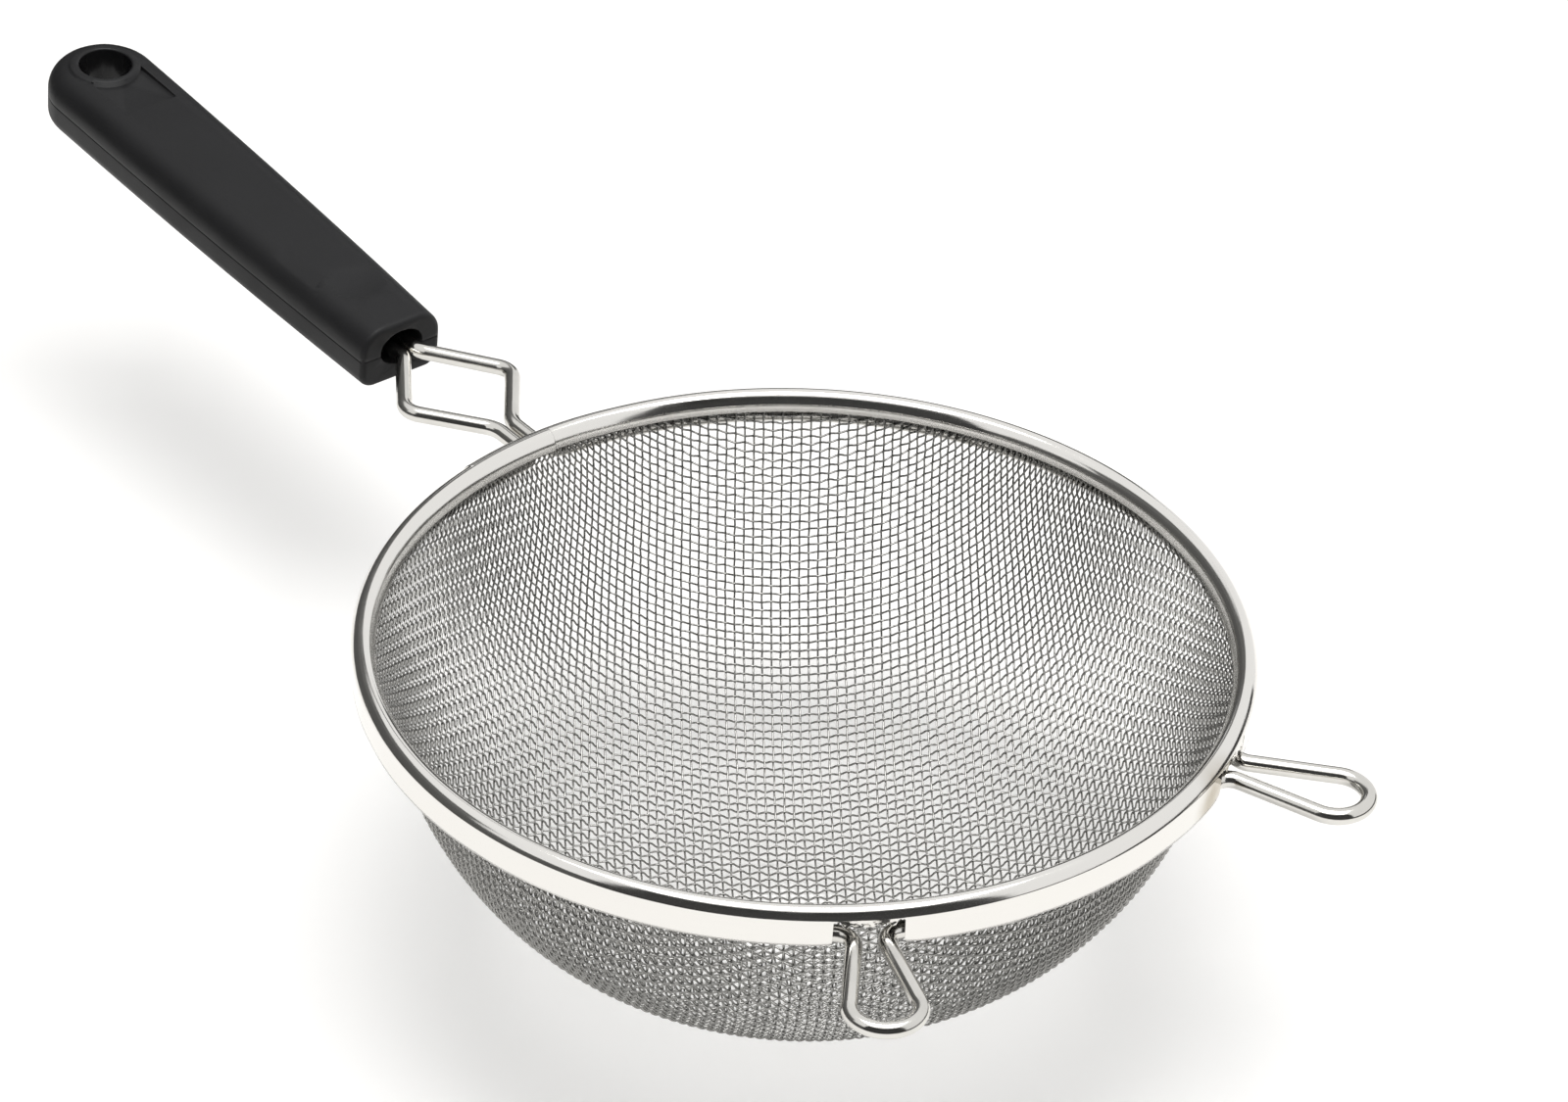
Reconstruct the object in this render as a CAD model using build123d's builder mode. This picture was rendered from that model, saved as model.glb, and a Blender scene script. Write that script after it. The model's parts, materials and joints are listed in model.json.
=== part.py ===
from build123d import *
from math import acos, asin, atan2, cos, degrees, hypot, pi, radians, sin, tan
import os

# A round kitchen strainer: a woven wire bowl whose edge is clamped in a rolled
# sheet band, on a frame wire that lies inside the band, comes out as two rest
# ears and as a diamond neck, and ends inside a moulded handle.
#
# Millimetres. +Z is up and the handle lies along -X. The origin is on the
# bowl's axis, in the plane in which the strainer rests across a pan: the
# underside of the frame wire.

# Band
RIM_R = 100.0
BAND_H = 8.7
SHEET = 0.4
BEAD_R = 2.785
CREASE_ANGLE = 20.0
LIP_H = 1.6
NOTCH_HALF = 7.6
NOTCH_CORNER_R = 1.0
LAP_FROM = 179.0
LAP_ARC = 14.0

# Frame wire
WIRE_R = 1.9
ROOT_HALF = 7.4
ROOT_BEND_R = 4.2

# Rest ears
EAR_AZIMUTH = 30.4
EAR_REACH = 30.2
EAR_ROOT_HALF = 2.6
EAR_FLARE = 11.0
EAR_TIP_BEND_R = 7.3

# Diamond neck and tangs
NECK_HALF = 2.2
NECK_LENGTH = 12.8
DIAMOND_OPENING = 17.9
DIAMOND_CLOSING = 19.5
DIAMOND_HALF = 15.5
DIAMOND_BEND_R = 5.0
NECK_BEND_R = 8.0
HANDLE_GAP = 3.8
TANG_LENGTH = 36.0

# Woven bowl, as a shell two wires thick with a plain grid of openings
MESH_T = 0.8
GRID_BAR = 4.4
GRID_BELOW_WIRE = 1.0
GRID_ROWS = 6
BOWL_DEPTH = 84.9
WALL_LEAN = 17.8
knuckle_share = 0.835
dome_share = 1.148
tuck_share = 0.95
knuckle_point_shares = (0.25, 0.5, 0.75)
grid_near_share = 0.6
grid_far_share = 1.2

# Handle
HANDLE_LENGTH = 141.8
HANDLE_FRONT_HALF = 11.2
HANDLE_END_R = 14.1
HANDLE_SIDE_R = 2900.0
HANDLE_T = 16.1
HANDLE_RISE = 3.7
HANDLE_DROP = 0.95
TOP_EDGE_R = 6.7
UNDER_EDGE_R = 4.0
FRONT_EDGE_R = 1.4
HOLE_R = 6.5
HOLE_LIP_R = 8.75
HOLE_LIP_RISE = 0.5
HOLE_LIP_EDGE_R = 0.6
PANEL_HALF = 7.3
PANEL_LENGTH = 20.7
PANEL_DEPTH = 0.9
PANEL_CORNER_R = 0.6
DIMPLE_AT = 19.3
DIMPLE_R = 7.5
DIMPLE_DEPTH = 0.8
SOCKET_HALF = 6.0
SOCKET_HALF_H = 4.6
SOCKET_DEPTH = 7.0
SEAM_DEPTH = 0.2
SEAM_WIDTH = 0.3

# Derived
WIRE_Z = WIRE_R
SKIRT_INNER_R = RIM_R - SHEET
HOOP_R = SKIRT_INNER_R - WIRE_R
MESH_R = HOOP_R - WIRE_R
BEAD_CENTRE_R = RIM_R - BEAD_R * cos(radians(CREASE_ANGLE))
BEAD_Z = BAND_H - BEAD_R
CREASE_Z = BEAD_Z + BEAD_R * sin(radians(CREASE_ANGLE))
ROOT_ANGLE = degrees(asin(ROOT_HALF / HOOP_R))
EAR_TIP = RIM_R + EAR_REACH
DIAMOND_FROM = RIM_R + NECK_LENGTH
DIAMOND_WIDEST = DIAMOND_FROM + DIAMOND_OPENING
DIAMOND_TO = DIAMOND_WIDEST + DIAMOND_CLOSING
HANDLE_FRONT = DIAMOND_TO + HANDLE_GAP
TANG_TO = HANDLE_FRONT + TANG_LENGTH


def turned_plane(azimuth):
    """The vertical plane through the Z axis at an azimuth: local x is outwards, local y is up."""
    a = radians(azimuth)
    return Plane(origin=(0, 0, 0), x_dir=(cos(a), sin(a), 0), z_dir=(sin(a), -cos(a), 0))


def facing_plane(azimuth, radius):
    """The plane that faces outwards at an azimuth: local x is along the rim, local y is up."""
    a = radians(azimuth)
    origin = (radius * cos(a), radius * sin(a), 0)
    return Plane(origin=origin, x_dir=(-sin(a), cos(a), 0), z_dir=(cos(a), sin(a), 0))


def wire_start(path):
    """The plane square to a wire's path at its first end."""
    return Plane(origin=path @ 0, z_dir=path % 0)


os.makedirs("parts", exist_ok=True)

# The band is one strip of sheet, rolled to a round bead on top, with a short
# inner lip that holds the weave. Outside, a crease parts the bead from an
# upright skirt that covers the wire. The skirt is notched where the ears and
# the neck pass, and laps at the neck.
with BuildPart() as rim_band:
    with BuildSketch(Plane.XZ):
        with BuildLine():
            lip_r = BEAD_CENTRE_R - BEAD_R
            Line((lip_r, BEAD_Z - LIP_H), (lip_r, BEAD_Z))
            CenterArc((BEAD_CENTRE_R, BEAD_Z), BEAD_R, 180, CREASE_ANGLE - 180)
            Line((RIM_R, CREASE_Z), (RIM_R, 0))
            offset(amount=SHEET, side=Side.RIGHT)
        make_face()
    revolve(axis=Axis.Z)
    with BuildSketch(turned_plane(LAP_FROM)):
        with BuildLine():
            CenterArc((BEAD_CENTRE_R, BEAD_Z), BEAD_R, 90, CREASE_ANGLE - 90)
            Line((RIM_R, CREASE_Z), (RIM_R, 0))
            offset(amount=SHEET, side=Side.LEFT)
        make_face()
    revolve(axis=Axis.Z, revolution_arc=LAP_ARC)
    for azimuth in (EAR_AZIMUTH, -EAR_AZIMUTH, 180):
        with BuildSketch(facing_plane(azimuth, BEAD_CENTRE_R)) as notch:
            Rectangle(2 * NOTCH_HALF, 2 * CREASE_Z)
            fillet(notch.vertices().group_by(Axis.Z)[-1], NOTCH_CORNER_R)
        extrude(amount=2 * BEAD_R + 2 * SHEET, mode=Mode.SUBTRACT)
rim_band.part.label = "rim_band"
export_step(rim_band.part, "parts/rim_band.step")

# The weave is drawn as a plain grid of openings, twice GRID_ROWS across, in
# place of its many wires. A row lies between two cones from the middle of the
# mouth, and upright bars part it into openings about as wide as they are high.
grid_bar_angle = degrees(GRID_BAR / MESH_R)
grid_top_angle = 90 - degrees(atan2(WIRE_Z + GRID_BELOW_WIRE, MESH_R))
grid_step = (grid_top_angle + grid_bar_angle / 2) / GRID_ROWS


def row_of_openings(row):
    """The solid that cuts one row, counted from the bowl's lowest point."""
    low = radians(row * grid_step + grid_bar_angle / 2)
    high = radians((row + 1) * grid_step - grid_bar_angle / 2)
    quarter_count = round(pi / 2 * sin((low + high) / 2) / radians(grid_step))
    near = MESH_R * grid_near_share
    far = MESH_R * grid_far_share
    with BuildPart() as cutter:
        with BuildSketch(Plane.XZ):
            with BuildLine():
                Polyline(
                    (near * sin(low), WIRE_Z - near * cos(low)),
                    (far * sin(low), WIRE_Z - far * cos(low)),
                    (far * sin(high), WIRE_Z - far * cos(high)),
                    (near * sin(high), WIRE_Z - near * cos(high)),
                    close=True,
                )
            make_face()
        revolve(axis=Axis.Z)
        with BuildSketch(Plane.XY.offset(BAND_H)):
            with PolarLocations(0, 4 * max(1, quarter_count)):
                Rectangle(far, GRID_BAR, align=(Align.MIN, Align.CENTER))
        extrude(amount=-2 * far, mode=Mode.SUBTRACT)
    return cutter.part


openings = [row_of_openings(row) for row in range(GRID_ROWS)]

# The bowl's section is a leaning wall, a knuckle and a shallow dome, each
# tangent to the next. The knuckle is a spline through the points of an arc.
# The bowl's edge stands upright between the wire and the lip.
KNUCKLE_R = MESH_R * knuckle_share
DOME_R = MESH_R * dome_share
lean = radians(WALL_LEAN)
dome_depth = BOWL_DEPTH - BAND_H + WIRE_Z
centre_gap = MESH_R * cos(lean) - KNUCKLE_R + (DOME_R - dome_depth) * sin(lean)
dome_angle = asin(centre_gap / (DOME_R - KNUCKLE_R)) - lean
knuckle_centre_r = (DOME_R - KNUCKLE_R) * sin(dome_angle)
wall_length = (MESH_R - KNUCKLE_R * cos(lean) - knuckle_centre_r) / sin(lean)
knuckle_turn = 90 - WALL_LEAN - degrees(dome_angle)


def bowl_contour(inset):
    """One side of the shell's section, set in from the outer side. Returns both of its ends."""
    corner = Vector(MESH_R - inset, WIRE_Z + inset * tan(lean / 2))
    wall_end = Vector(MESH_R - wall_length * sin(lean), WIRE_Z - wall_length * cos(lean))
    wall_end += inset * Vector(-cos(lean), sin(lean))
    edge = Line((MESH_R - inset, BEAD_Z * tuck_share), corner)
    wall = Line(corner, wall_end)
    knuckle = JernArc(wall @ 1, wall % 1, KNUCKLE_R - inset, -knuckle_turn, mode=Mode.PRIVATE)
    knuckle_points = [knuckle @ share for share in knuckle_point_shares]
    Spline(wall @ 1, *knuckle_points, knuckle @ 1, tangents=(wall % 1, knuckle % 1))
    dome = JernArc(knuckle @ 1, knuckle % 1, DOME_R - inset, -degrees(dome_angle))
    return edge @ 0, dome @ 1


with BuildPart() as mesh_bowl:
    with BuildSketch(Plane.XZ):
        with BuildLine():
            outer = bowl_contour(0)
            inner = bowl_contour(MESH_T)
            Line(outer[0], inner[0])
            Line(outer[1], inner[1])
        make_face()
    revolve(axis=Axis.Z)
    add(openings, mode=Mode.SUBTRACT)
mesh_bowl.part.label = "mesh_bowl"
export_step(mesh_bowl.part, "parts/mesh_bowl.step")

# The frame wire's hoop lies in the band in three arcs, between the places
# where the same wire turns out to make an ear or the neck.
with BuildPart() as hoop_wire_left:
    with BuildSketch(turned_plane(EAR_AZIMUTH + ROOT_ANGLE)):
        with Locations((HOOP_R, WIRE_Z)):
            Circle(WIRE_R)
    revolve(axis=Axis.Z, revolution_arc=180 - EAR_AZIMUTH - 2 * ROOT_ANGLE)
hoop_wire_left.part.label = "hoop_wire_left"
export_step(hoop_wire_left.part, "parts/hoop_wire_left.step")

with BuildPart() as hoop_wire_right:
    mirror(hoop_wire_left.part, about=Plane.XZ)
hoop_wire_right.part.label = "hoop_wire_right"
export_step(hoop_wire_right.part, "parts/hoop_wire_right.step")

with BuildPart() as hoop_wire_front:
    with BuildSketch(turned_plane(ROOT_ANGLE - EAR_AZIMUTH)):
        with Locations((HOOP_R, WIRE_Z)):
            Circle(WIRE_R)
    revolve(axis=Axis.Z, revolution_arc=2 * EAR_AZIMUTH - 2 * ROOT_ANGLE)
hoop_wire_front.part.label = "hoop_wire_front"
export_step(hoop_wire_front.part, "parts/hoop_wire_front.step")

# Each ear leaves the hoop square to it, flares along two straight legs and
# closes in a round tip.
root_r = HOOP_R * cos(radians(ROOT_ANGLE))
flare = tan(radians(EAR_FLARE))
root_slope = tan(radians(ROOT_ANGLE))
leg_x = (root_r + root_slope * (ROOT_HALF - EAR_ROOT_HALF + root_r * flare)) / (1 + root_slope * flare)
leg_y = EAR_ROOT_HALF + (leg_x - root_r) * flare
tip_y = EAR_ROOT_HALF + (EAR_TIP - root_r) * flare
ear_plane = Plane.XY.offset(WIRE_Z).rotated((0, 0, EAR_AZIMUTH))
with BuildPart() as ear_left:
    with BuildLine(ear_plane) as ear_path:
        FilletPolyline(
            (root_r, ROOT_HALF),
            (leg_x, leg_y),
            (EAR_TIP, tip_y),
            (EAR_TIP, -tip_y),
            (leg_x, -leg_y),
            (root_r, -ROOT_HALF),
            radius=[ROOT_BEND_R, EAR_TIP_BEND_R, EAR_TIP_BEND_R, ROOT_BEND_R],
        )
    with BuildSketch(wire_start(ear_path.line)):
        Circle(WIRE_R)
    sweep()
ear_left.part.label = "ear_left"
export_step(ear_left.part, "parts/ear_left.step")

with BuildPart() as ear_right:
    mirror(ear_left.part, about=Plane.XZ)
ear_right.part.label = "ear_right"
export_step(ear_right.part, "parts/ear_right.step")

# At the neck both ends of the wire turn out side by side, open into a diamond,
# close again and run into the handle as two tangs.
neck_x = root_r + root_slope * (ROOT_HALF - NECK_HALF)
with BuildPart() as neck_wire_left:
    with BuildLine(Plane.XY.offset(WIRE_Z)) as neck_path:
        FilletPolyline(
            (-root_r, ROOT_HALF),
            (-neck_x, NECK_HALF),
            (-DIAMOND_FROM, NECK_HALF),
            (-DIAMOND_WIDEST, DIAMOND_HALF),
            (-DIAMOND_TO, NECK_HALF),
            (-TANG_TO, NECK_HALF),
            radius=[ROOT_BEND_R, NECK_BEND_R, DIAMOND_BEND_R, NECK_BEND_R],
        )
    with BuildSketch(wire_start(neck_path.line)):
        Circle(WIRE_R)
    sweep()
neck_wire_left.part.label = "neck_wire_left"
export_step(neck_wire_left.part, "parts/neck_wire_left.step")

with BuildPart() as neck_wire_right:
    mirror(neck_wire_left.part, about=Plane.XZ)
neck_wire_right.part.label = "neck_wire_right"
export_step(neck_wire_right.part, "parts/neck_wire_right.step")

# The handle is one moulding, a little wider at its hanging end, and rises away
# from the bowl. Local x runs along it from its front face, local z is up.
rise = radians(HANDLE_RISE)
handle_plane = Plane(
    origin=(-HANDLE_FRONT, 0, WIRE_Z - HANDLE_DROP),
    x_dir=(-cos(rise), 0, sin(rise)),
    z_dir=(sin(rise), 0, cos(rise)),
)
along = Axis(handle_plane.origin, handle_plane.x_dir)
upwards = Axis(handle_plane.origin, handle_plane.z_dir)
top_plane = handle_plane.offset(HANDLE_T / 2)
hole_at = HANDLE_LENGTH - HANDLE_END_R
corner_gap = hypot(hole_at, HANDLE_FRONT_HALF)
side_centre_r = HANDLE_SIDE_R - HANDLE_END_R
corner_cos = (HANDLE_SIDE_R**2 + corner_gap**2 - side_centre_r**2) / (2 * HANDLE_SIDE_R * corner_gap)
side_angle = atan2(HANDLE_FRONT_HALF, hole_at) + acos(corner_cos)
side_centre_x = HANDLE_SIDE_R * cos(side_angle)
side_centre_y = HANDLE_FRONT_HALF - HANDLE_SIDE_R * sin(side_angle)
end_x = hole_at + HANDLE_END_R * (hole_at - side_centre_x) / side_centre_r
end_y = -HANDLE_END_R * side_centre_y / side_centre_r
hole_centre = handle_plane.from_local_coords((hole_at, 0, 0))
hole_axis = Axis(hole_centre, handle_plane.z_dir)
hole_section = Plane(origin=hole_centre, x_dir=handle_plane.x_dir, z_dir=-handle_plane.y_dir)
with BuildPart() as handle:
    with BuildSketch(handle_plane) as outline:
        with BuildLine():
            RadiusArc((0, HANDLE_FRONT_HALF), (end_x, end_y), HANDLE_SIDE_R)
            ThreePointArc((end_x, end_y), (HANDLE_LENGTH, 0), (end_x, -end_y))
            RadiusArc((end_x, -end_y), (0, -HANDLE_FRONT_HALF), HANDLE_SIDE_R)
            Line((0, -HANDLE_FRONT_HALF), (0, HANDLE_FRONT_HALF))
        make_face()
    extrude(amount=HANDLE_T / 2, both=True)
    fillet(handle.faces().sort_by(upwards)[-1].edges().sort_by(along)[1:], TOP_EDGE_R)
    fillet(handle.faces().sort_by(upwards)[0].edges().sort_by(along)[1:], UNDER_EDGE_R)
    fillet(handle.faces().sort_by(along)[0].edges(), FRONT_EDGE_R)
    # The mould's parting seam runs round the sides and the front at mid height.
    with BuildSketch(handle_plane):
        offset(outline.sketch_local, amount=SEAM_DEPTH)
        offset(outline.sketch_local, amount=-SEAM_DEPTH, mode=Mode.SUBTRACT)
    extrude(amount=SEAM_WIDTH / 2, both=True, mode=Mode.SUBTRACT)
    # The bare panel between the hanging hole and the grip is sunk in the top.
    with BuildSketch(top_plane) as panel:
        with Locations((hole_at - PANEL_LENGTH / 2, 0)):
            Rectangle(PANEL_LENGTH, 2 * PANEL_HALF)
        fillet(panel.vertices(), PANEL_CORNER_R)
    extrude(amount=-PANEL_DEPTH, mode=Mode.SUBTRACT)
    with BuildSketch(hole_section) as lip_section:
        with Locations((HOLE_LIP_R / 2, (HANDLE_T / 2 + HOLE_LIP_RISE) / 2)):
            Rectangle(HOLE_LIP_R, HANDLE_T / 2 + HOLE_LIP_RISE)
        fillet(lip_section.vertices().sort_by(along)[-2:].sort_by(upwards)[-1], HOLE_LIP_EDGE_R)
    revolve(axis=hole_axis)
    with BuildSketch(handle_plane):
        with Locations((hole_at, 0)):
            Circle(HOLE_R)
    extrude(amount=HANDLE_T, both=True, mode=Mode.SUBTRACT)
    fillet(handle.faces().sort_by(upwards)[-1].edges().sort_by(SortBy.LENGTH)[0], HOLE_LIP_EDGE_R)
    # A shallow round dish marks the thumb's place near the front.
    dish_r = (DIMPLE_R**2 + DIMPLE_DEPTH**2) / (2 * DIMPLE_DEPTH)
    with Locations(top_plane.location * Location((DIMPLE_AT, 0, dish_r - DIMPLE_DEPTH))):
        Sphere(dish_r, mode=Mode.SUBTRACT)
    with BuildSketch(facing_plane(180, HANDLE_FRONT)):
        with Locations((0, WIRE_Z)):
            Ellipse(SOCKET_HALF, SOCKET_HALF_H)
    extrude(amount=SOCKET_DEPTH, both=True, mode=Mode.SUBTRACT)
    add(neck_wire_left.part, mode=Mode.SUBTRACT)
    add(neck_wire_right.part, mode=Mode.SUBTRACT)
handle.part.label = "handle"
export_step(handle.part, "parts/handle.step")

pieces = (
    rim_band,
    mesh_bowl,
    hoop_wire_left,
    hoop_wire_right,
    hoop_wire_front,
    ear_left,
    ear_right,
    neck_wire_left,
    neck_wire_right,
    handle,
)
for piece in pieces:
    box = piece.part.bounding_box()
    size = box.size
    print(f"{piece.part.label}: {size.X:.1f} x {size.Y:.1f} x {size.Z:.1f}, {piece.part.volume:.0f} mm3")
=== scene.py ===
"""Woven-wire bowl strainer: the visible pieces, their finishes and the studio.

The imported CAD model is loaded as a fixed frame. The rim band, the frame wire, the woven bowl and the
handle are then made over it, each by its own operator. Axes are the frame's: the bowl's axis is Z, the
handle points along -X, and the origin is in the plane of the frame wire's underside.
"""

import json
import math

import bmesh
import bpy
import numpy as np
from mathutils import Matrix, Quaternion, Vector


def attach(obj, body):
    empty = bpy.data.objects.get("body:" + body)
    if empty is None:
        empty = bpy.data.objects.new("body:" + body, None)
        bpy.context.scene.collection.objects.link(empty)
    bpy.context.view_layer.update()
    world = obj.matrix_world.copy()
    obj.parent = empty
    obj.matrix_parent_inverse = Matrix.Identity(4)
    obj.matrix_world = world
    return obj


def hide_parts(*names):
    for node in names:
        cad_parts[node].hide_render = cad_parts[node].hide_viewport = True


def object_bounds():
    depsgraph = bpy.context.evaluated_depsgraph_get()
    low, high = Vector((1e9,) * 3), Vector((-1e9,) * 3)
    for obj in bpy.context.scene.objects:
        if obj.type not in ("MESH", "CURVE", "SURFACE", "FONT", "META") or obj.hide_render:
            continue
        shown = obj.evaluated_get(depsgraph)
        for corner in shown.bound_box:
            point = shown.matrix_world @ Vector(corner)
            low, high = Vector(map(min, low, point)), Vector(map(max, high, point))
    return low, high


bl_info = {
    "name": "Wire bowl strainer",
    "version": (1, 0, 0),
    "blender": (4, 5, 0),
    "location": "3D Viewport > Sidebar > Strainer",
    "description": "Makes a woven-wire bowl strainer with a rolled band, wire ears and a handle",
    "category": "Add Mesh",
}

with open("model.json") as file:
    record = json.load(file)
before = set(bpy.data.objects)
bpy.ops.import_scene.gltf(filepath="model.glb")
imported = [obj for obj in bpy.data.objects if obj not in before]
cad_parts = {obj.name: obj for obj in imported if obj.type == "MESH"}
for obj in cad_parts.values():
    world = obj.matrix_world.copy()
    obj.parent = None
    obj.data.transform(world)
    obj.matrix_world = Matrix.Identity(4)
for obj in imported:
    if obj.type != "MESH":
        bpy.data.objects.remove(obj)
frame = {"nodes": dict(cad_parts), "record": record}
CAD_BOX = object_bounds()
MM = 0.001
BODY = "root"
WIRE_NODES = (
    "hoop_wire_left",
    "hoop_wire_right",
    "hoop_wire_front",
    "ear_left",
    "ear_right",
    "neck_wire_left",
    "neck_wire_right",
)

# Places that several pieces share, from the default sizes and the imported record: the ears' azimuth,
# the gaps' azimuths along the band's strip, the height of the frame wire's middle, and the hole.
EAR_AT = math.radians(30.4)
BAND_GAPS = (math.pi, 2 * math.pi - EAR_AT, 2 * math.pi + EAR_AT, 3 * math.pi)
WIRE_Z = 1.9 * MM
HOLE_AT = Vector(next(m["pos_m"] for m in frame["record"]["mounts"] if m["name"] == "hang_hole"))

# The photograph's view, fitted to the rim, the bowl's outline and the ears.
CAMERA_AT = (0.876433, -0.727324, 0.823405)
CAMERA_AIM = (-0.028381, 0.016279, 0.008)
CAMERA_ROLL = math.radians(2.4208)
CAMERA_LENS = 145.944

# The table lies just under the bowl's lowest point. The cards stand round it at this distance.
FLOOR_Z = CAD_BOX[0][2] - 0.0002
CARD_R = 1.7

# The bowl's section has this many points on its dome, and the rest of them above it.
DOME_POINTS = 240


def linear(code):
    """Linear colour with full alpha from an sRGB hex code such as "#c8c6c2"."""
    parts = [int(code[k : k + 2], 16) / 255 for k in (1, 3, 5)]
    return (*[c / 12.92 if c <= 0.04045 else ((c + 0.055) / 1.055) ** 2.4 for c in parts], 1.0)


def length(name, text, millimetres):
    """A size that a user can change, kept in metres."""
    return bpy.props.FloatProperty(
        name=name, description=text, default=millimetres * MM, unit="LENGTH", precision=5
    )


def angle(name, text, degrees):
    """An angle that a user can change, kept in radians."""
    return bpy.props.FloatProperty(
        name=name, description=text, default=math.radians(degrees), subtype="ANGLE"
    )


def share(name, text, value):
    """A plain number that a user can change."""
    return bpy.props.FloatProperty(name=name, description=text, default=value)


def colour(name, text, code):
    """A colour that a user can change, from its sRGB hex code."""
    return bpy.props.FloatVectorProperty(
        name=name, description=text, default=linear(code), size=4, subtype="COLOR", min=0, max=1
    )


# Sizes and colours that a user would change.


class StrainerBand(bpy.types.PropertyGroup):
    """Sizes of the rolled rim band"""

    rim_r: length("Rim radius", "Outside of the skirt", 100)
    sheet: length("Sheet", "Thickness of the rolled strip", 0.4)
    lip_r: length("Lip radius", "Bowl side of the lip that holds the weave", 94.6)
    lip_low: length("Lip height", "Lower edge of the lip above the rest plane", 4.3)
    top: length("Top height", "Top of the bead above the rest plane", 8.7)
    crease: angle("Crease", "Slope of the bead's side where the upright skirt begins", 20)
    flank: angle("Flank", "Slope of the bead's sides where its crown begins", 45)
    outer_flank_r: length("Outer flank", "Curve of the bead's outer side", 4.2)
    inner_flank_r: length("Inner flank", "Curve of the bead's inner side", 4.6)
    notch_half: length("Notch half width", "Half of each gap in the skirt", 7.6)
    notch_corner: length("Notch corner", "Corner radius at a gap's top", 0.5)
    notch_strip: length("Notch strip", "Width of the torn strip left under the bead in a gap", 1.9)
    lap_from: angle("Lap start", "Where the strip's inner end lies", 179)
    lap_arc: angle("Lap", "Arc over which the strip's ends overlap", 14)


class StrainerWire(bpy.types.PropertyGroup):
    """Sizes of the frame wire with its ears and its neck"""

    wire_r: length("Wire radius", "Radius of the frame wire", 1.9)
    hoop_r: length("Hoop radius", "Centre line of the hoop inside the band", 97.7)
    root_half: length("Root half width", "Half gap where an ear leaves the hoop", 7.4)
    root_bend: length("Root bend", "Bend where an ear leaves the hoop", 4.2)
    ear_azimuth: angle("Ear azimuth", "Each ear's angle from the front", 30.4)
    ear_tip: length("Ear reach", "Centre line of an ear's tip from the axis", 130.2)
    ear_root: length("Ear root", "Half gap of the ear's legs at the hoop", 2.6)
    ear_flare: angle("Ear flare", "Angle between an ear's leg and its middle line", 11)
    ear_bend: length("Ear tip bend", "Bend at the ear's two outer corners", 7.3)
    neck_half: length("Neck half width", "Half gap of the two wires of the neck", 2.2)
    diamond_half: length("Diamond half width", "Half width of the neck's diamond", 15.5)
    diamond_from: length("Diamond start", "Where the diamond opens", 112.8)
    diamond_widest: length("Diamond middle", "Where the diamond is widest", 130.7)
    diamond_to: length("Diamond end", "Where the diamond closes", 150.2)
    diamond_bend: length("Diamond bend", "Bend at the diamond's side corners", 5)
    neck_bend: length("Neck bend", "Bend where the diamond opens and closes", 8)
    tang_to: length("Tang end", "How far the wire reaches into the handle", 190)


class StrainerWeave(bpy.types.PropertyGroup):
    """Sizes of the woven bowl"""

    edge_r: length("Edge radius", "Middle of the weave at its upright edge", 95.3)
    edge_top: length("Edge height", "Top of the weave's edge inside the bead", 5.6)
    depth: length("Depth", "Lowest outside point below the frame wire's middle", 78.1)
    dome_r: length("Dome radius", "Outside radius of the bowl's floor", 109.98)
    knuckle_r: length("Knuckle radius", "Outside radius between floor and wall", 79.99)
    wall_lean: angle("Wall lean", "Lean of the straight wall under the band", 17.8)
    wire: length("Weave wire", "Diameter of the weave's wire", 0.5)
    weft_crimp: share("Weft crimp", "Share of each crossing's bend that the weft takes", 0.85)
    warp_pitch: length("Warp pitch", "Spacing of the wires that run to the front right", 2.17)
    weft_pitch: length("Weft pitch", "Spacing of the wires across them", 1.93)
    turn: angle("Weave turn", "Direction of the warp round the bowl's axis", -35.2)
    unevenness: length("Unevenness", "How far a crossing strays from its place", 0.06)


class StrainerColours(bpy.types.PropertyGroup):
    """Colours of the pieces and of the table"""

    band: colour("Band steel", "Rolled stainless strip", "#e3e1dd")
    tint: colour("Heat tint", "Straw-brown oxide near the ears", "#8c7a52")
    wire: colour("Wire steel", "Drawn stainless wire", "#dddbd6")
    weave: colour("Weave steel", "Fine stainless wire of the weave", "#a9a8a5")
    handle: colour("Handle", "Black moulded plastic", "#1a1a1b")
    floor: colour("Floor", "White matt board", "#f4f3f1")


# Mesh and surface helpers.


def unit(vectors):
    """Each vector divided by its own length."""
    return vectors / np.linalg.norm(vectors, axis=-1, keepdims=True)


def grid(rows_at, columns_at, wrap=False):
    """Quads over a grid of points, and the place of each quad's corners in metres for the UV map.

    Point (a, b) has the number a * columns + b. rows_at and columns_at give the places along each
    direction. Where the columns wrap round, columns_at has one value more than there are points.
    """
    columns = len(columns_at) - wrap
    a, b = np.meshgrid(np.arange(len(rows_at) - 1), np.arange(len(columns_at) - 1), indexing="ij")
    corner_a = np.stack([a, a + 1, a + 1, a], -1).reshape(-1, 4)
    corner_b = np.stack([b, b, b + 1, b + 1], -1).reshape(-1, 4)
    quads = corner_a * columns + corner_b % columns
    places = np.stack([np.asarray(rows_at)[corner_a], np.asarray(columns_at)[corner_b]], -1)
    return quads, places


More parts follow.
